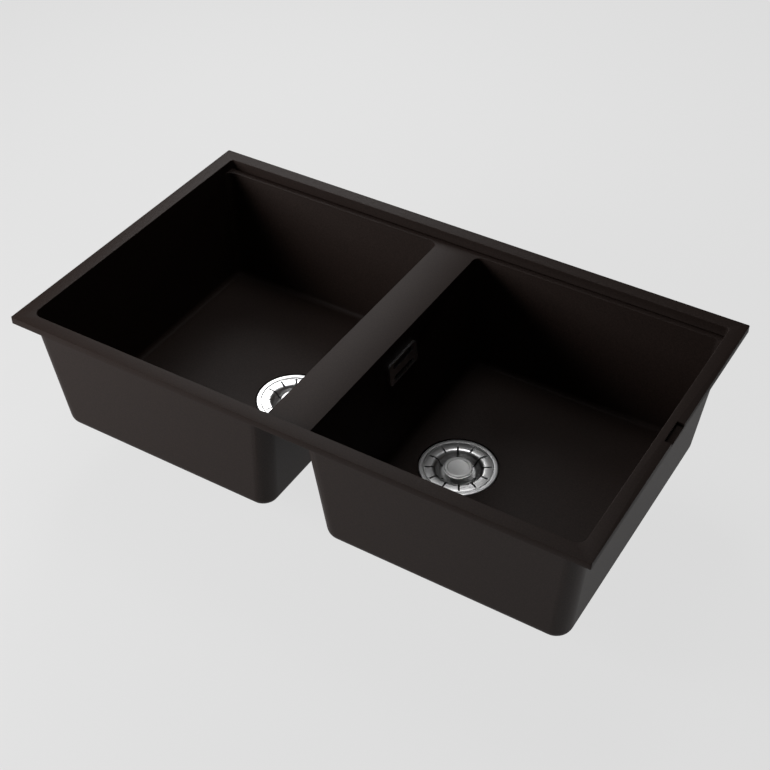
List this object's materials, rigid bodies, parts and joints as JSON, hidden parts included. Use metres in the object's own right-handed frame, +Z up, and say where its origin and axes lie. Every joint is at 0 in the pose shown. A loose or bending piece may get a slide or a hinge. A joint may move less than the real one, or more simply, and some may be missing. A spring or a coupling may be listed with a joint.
{
  "type": "double bowl kitchen sink",
  "caption": "Dark composite double bowl kitchen sink with basket strainer wastes, lift knobs and a concealed overflow.",
  "frame": {"origin": "centre of the rim's flat top face", "axes": "+X to the right bowl along the long side, +Y to the rear ledge, +Z up"},
  "size_m": [0.86, 0.5, 0.263],
  "materials": {
    "dark_granite": "satin",
    "polished_steel": "polished",
    "satin_steel": "satin",
    "black_rubber": "matte",
    "white_plastic": "matte",
    "grey_plastic": "matte",
    "brass_insert": "satin"
  },
  "bodies": {
    "sink": {"sink_body": "dark_granite", "left_waste_flange": "polished_steel", "left_flange_seal": "black_rubber", "left_body_seal": "black_rubber", "left_waste_body": "white_plastic", "left_boss_insert": "brass_insert", "left_clamp_screw": "satin_steel", "right_waste_flange": "polished_steel", "right_flange_seal": "black_rubber", "right_body_seal": "black_rubber", "right_waste_body": "white_plastic", "right_boss_insert": "brass_insert", "right_clamp_screw": "satin_steel", "overflow_cover": "polished_steel", "overflow_frame": "grey_plastic", "overflow_screws": "satin_steel", "overflow_gasket": "black_rubber", "overflow_elbow": "white_plastic", "overflow_pipe": "white_plastic", "overflow_upper_washer": "black_rubber", "overflow_upper_nut": "white_plastic", "overflow_lower_washer": "black_rubber", "overflow_lower_nut": "white_plastic"},
    "left_strainer": {"left_strainer_basket": "polished_steel", "left_post_guide": "grey_plastic"},
    "left_plug": {"left_lift_knob": "satin_steel", "left_lift_post": "satin_steel", "left_stopper": "black_rubber"},
    "right_strainer": {"right_strainer_basket": "polished_steel", "right_post_guide": "grey_plastic"},
    "right_plug": {"right_lift_knob": "satin_steel", "right_lift_post": "satin_steel", "right_stopper": "black_rubber"}
  },
  "joints": [
    {"name": "left_strainer_lift", "type": "slide", "parent": "sink", "child": "left_strainer", "axis": [0, 0, 1], "range_m": [0, 0.23]},
    {"name": "left_plug_lift", "type": "slide", "parent": "left_strainer", "child": "left_plug", "axis": [0, 0, 1], "range_m": [0, 0.008]},
    {"name": "right_strainer_lift", "type": "slide", "parent": "sink", "child": "right_strainer", "axis": [0, 0, 1], "range_m": [0, 0.23]},
    {"name": "right_plug_lift", "type": "slide", "parent": "right_strainer", "child": "right_plug", "axis": [0, 0, 1], "range_m": [0, 0.008]}
  ]
}
